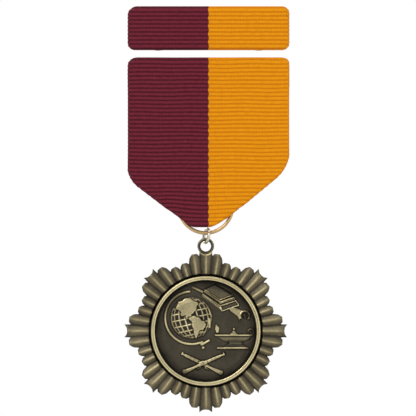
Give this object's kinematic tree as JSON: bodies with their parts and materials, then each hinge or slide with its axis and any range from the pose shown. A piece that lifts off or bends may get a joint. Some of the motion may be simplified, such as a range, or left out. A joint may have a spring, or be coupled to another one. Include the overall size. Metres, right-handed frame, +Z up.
{
  "type": "service medal with ribbon drape and ribbon bar",
  "caption": "Rayed antique-brass star on a two-colour folded ribbon drape, with a matching ribbon bar, pins and butterfly clutches.",
  "frame": {"origin": "centre of the drape brooch's back face, where it lies on the garment", "axes": "+X to the viewer's right, -Y towards the viewer, +Y into the garment, +Z up as worn"},
  "size_m": [0.0358, 0.0126, 0.0883],
  "materials": {
    "ribbon_maroon": "ribbed silk-like weave, low sheen",
    "ribbon_gold": "ribbed silk-like weave, low sheen",
    "sewing_thread": "polyester thread",
    "antique_brass": "antiqued: dark recesses, rubbed bright crests",
    "ring_brass": "bright drawn wire",
    "jump_ring_brass": "pale bright wire",
    "brooch_brass": "stamped sheet, lightly brushed",
    "clutch_brass": "bright stamped sheet",
    "pin_steel": "nickel-plated pin"
  },
  "bodies": {
    "drape": {"drape_core": "brooch_brass", "drape_ribbon_maroon": "ribbon_maroon", "drape_ribbon_gold": "ribbon_gold", "drape_back_plate": "brooch_brass", "drape_pin_left": "pin_steel", "drape_pin_right": "pin_steel", "tack_stitches": "sewing_thread"},
    "ribbon_bar": {"bar_core": "brooch_brass", "bar_ribbon_maroon": "ribbon_maroon", "bar_ribbon_gold": "ribbon_gold", "bar_back_plate": "brooch_brass", "bar_pin_left": "pin_steel", "bar_pin_right": "pin_steel"},
    "suspension_ring": {"suspension_ring": "ring_brass"},
    "jump_ring": {"jump_ring": "jump_ring_brass"},
    "medal": {"star": "antique_brass", "medallion": "antique_brass", "medallion_rivet": "antique_brass"},
    "drape_left_cup": {"drape_left_cup": "clutch_brass"},
    "drape_left_upper_wing": {"drape_left_upper_wing": "clutch_brass"},
    "drape_left_lower_wing": {"drape_left_lower_wing": "clutch_brass"},
    "drape_right_cup": {"drape_right_cup": "clutch_brass"},
    "drape_right_upper_wing": {"drape_right_upper_wing": "clutch_brass"},
    "drape_right_lower_wing": {"drape_right_lower_wing": "clutch_brass"},
    "bar_left_cup": {"bar_left_cup": "clutch_brass"},
    "bar_left_upper_wing": {"bar_left_upper_wing": "clutch_brass"},
    "bar_left_lower_wing": {"bar_left_lower_wing": "clutch_brass"},
    "bar_right_cup": {"bar_right_cup": "clutch_brass"},
    "bar_right_upper_wing": {"bar_right_upper_wing": "clutch_brass"},
    "bar_right_lower_wing": {"bar_right_lower_wing": "clutch_brass"}
  },
  "joints": [
    {"name": "bar_height", "type": "slide", "parent": "drape", "child": "ribbon_bar", "axis": [0, 0, 1], "range_m": [0, 0.005]},
    {"name": "ring_turn", "type": "hinge", "parent": "drape", "child": "suspension_ring", "pos_m": [-0.0006, -0.00165, -0.02763], "axis": [0, -1, 0], "range_deg": [-8, 8]},
    {"name": "jump_swing", "type": "hinge", "parent": "suspension_ring", "child": "jump_ring", "pos_m": [-0.0006, -0.00165, -0.03347], "axis": [1, 0, 0], "range_deg": [-20, 20]},
    {"name": "medal_swing", "type": "hinge", "parent": "jump_ring", "child": "medal", "pos_m": [-0.0006, -0.00165, -0.0356], "axis": [0, -1, 0], "range_deg": [-25, 25]},
    {"name": "drape_left_clutch_slide", "type": "slide", "parent": "drape", "child": "drape_left_cup", "axis": [0, 1, 0], "range_m": [0, 0.0075]},
    {"name": "drape_left_upper_squeeze", "type": "hinge", "parent": "drape_left_cup", "child": "drape_left_upper_wing", "pos_m": [-0.011, 0.00305, 0.0029], "axis": [-1, 0, 0], "range_deg": [0, 8], "stiffness_Nm_per_rad": 0.03},
    {"name": "drape_left_lower_squeeze", "type": "hinge", "parent": "drape_left_cup", "child": "drape_left_lower_wing", "pos_m": [-0.011, 0.00305, -0.0029], "axis": [1, 0, 0], "range_deg": [0, 8], "stiffness_Nm_per_rad": 0.03},
    {"name": "drape_right_clutch_slide", "type": "slide", "parent": "drape", "child": "drape_right_cup", "axis": [0, 1, 0], "range_m": [0, 0.0075]},
    {"name": "drape_right_upper_squeeze", "type": "hinge", "parent": "drape_right_cup", "child": "drape_right_upper_wing", "pos_m": [0.011, 0.00305, 0.0029], "axis": [-1, 0, 0], "range_deg": [0, 8], "stiffness_Nm_per_rad": 0.03},
    {"name": "drape_right_lower_squeeze", "type": "hinge", "parent": "drape_right_cup", "child": "drape_right_lower_wing", "pos_m": [0.011, 0.00305, -0.0029], "axis": [1, 0, 0], "range_deg": [0, 8], "stiffness_Nm_per_rad": 0.03},
    {"name": "bar_left_clutch_slide", "type": "slide", "parent": "ribbon_bar", "child": "bar_left_cup", "axis": [0, 1, 0], "range_m": [0, 0.0075]},
    {"name": "bar_left_upper_squeeze", "type": "hinge", "parent": "bar_left_cup", "child": "bar_left_upper_wing", "pos_m": [-0.011, 0.00305, 0.014], "axis": [-1, 0, 0], "range_deg": [0, 8], "stiffness_Nm_per_rad": 0.03},
    {"name": "bar_left_lower_squeeze", "type": "hinge", "parent": "bar_left_cup", "child": "bar_left_lower_wing", "pos_m": [-0.011, 0.00305, 0.0082], "axis": [1, 0, 0], "range_deg": [0, 8], "stiffness_Nm_per_rad": 0.03},
    {"name": "bar_right_clutch_slide", "type": "slide", "parent": "ribbon_bar", "child": "bar_right_cup", "axis": [0, 1, 0], "range_m": [0, 0.0075]},
    {"name": "bar_right_upper_squeeze", "type": "hinge", "parent": "bar_right_cup", "child": "bar_right_upper_wing", "pos_m": [0.011, 0.00305, 0.014], "axis": [-1, 0, 0], "range_deg": [0, 8], "stiffness_Nm_per_rad": 0.03},
    {"name": "bar_right_lower_squeeze", "type": "hinge", "parent": "bar_right_cup", "child": "bar_right_lower_wing", "pos_m": [0.011, 0.00305, 0.0082], "axis": [1, 0, 0], "range_deg": [0, 8], "stiffness_Nm_per_rad": 0.03}
  ]
}
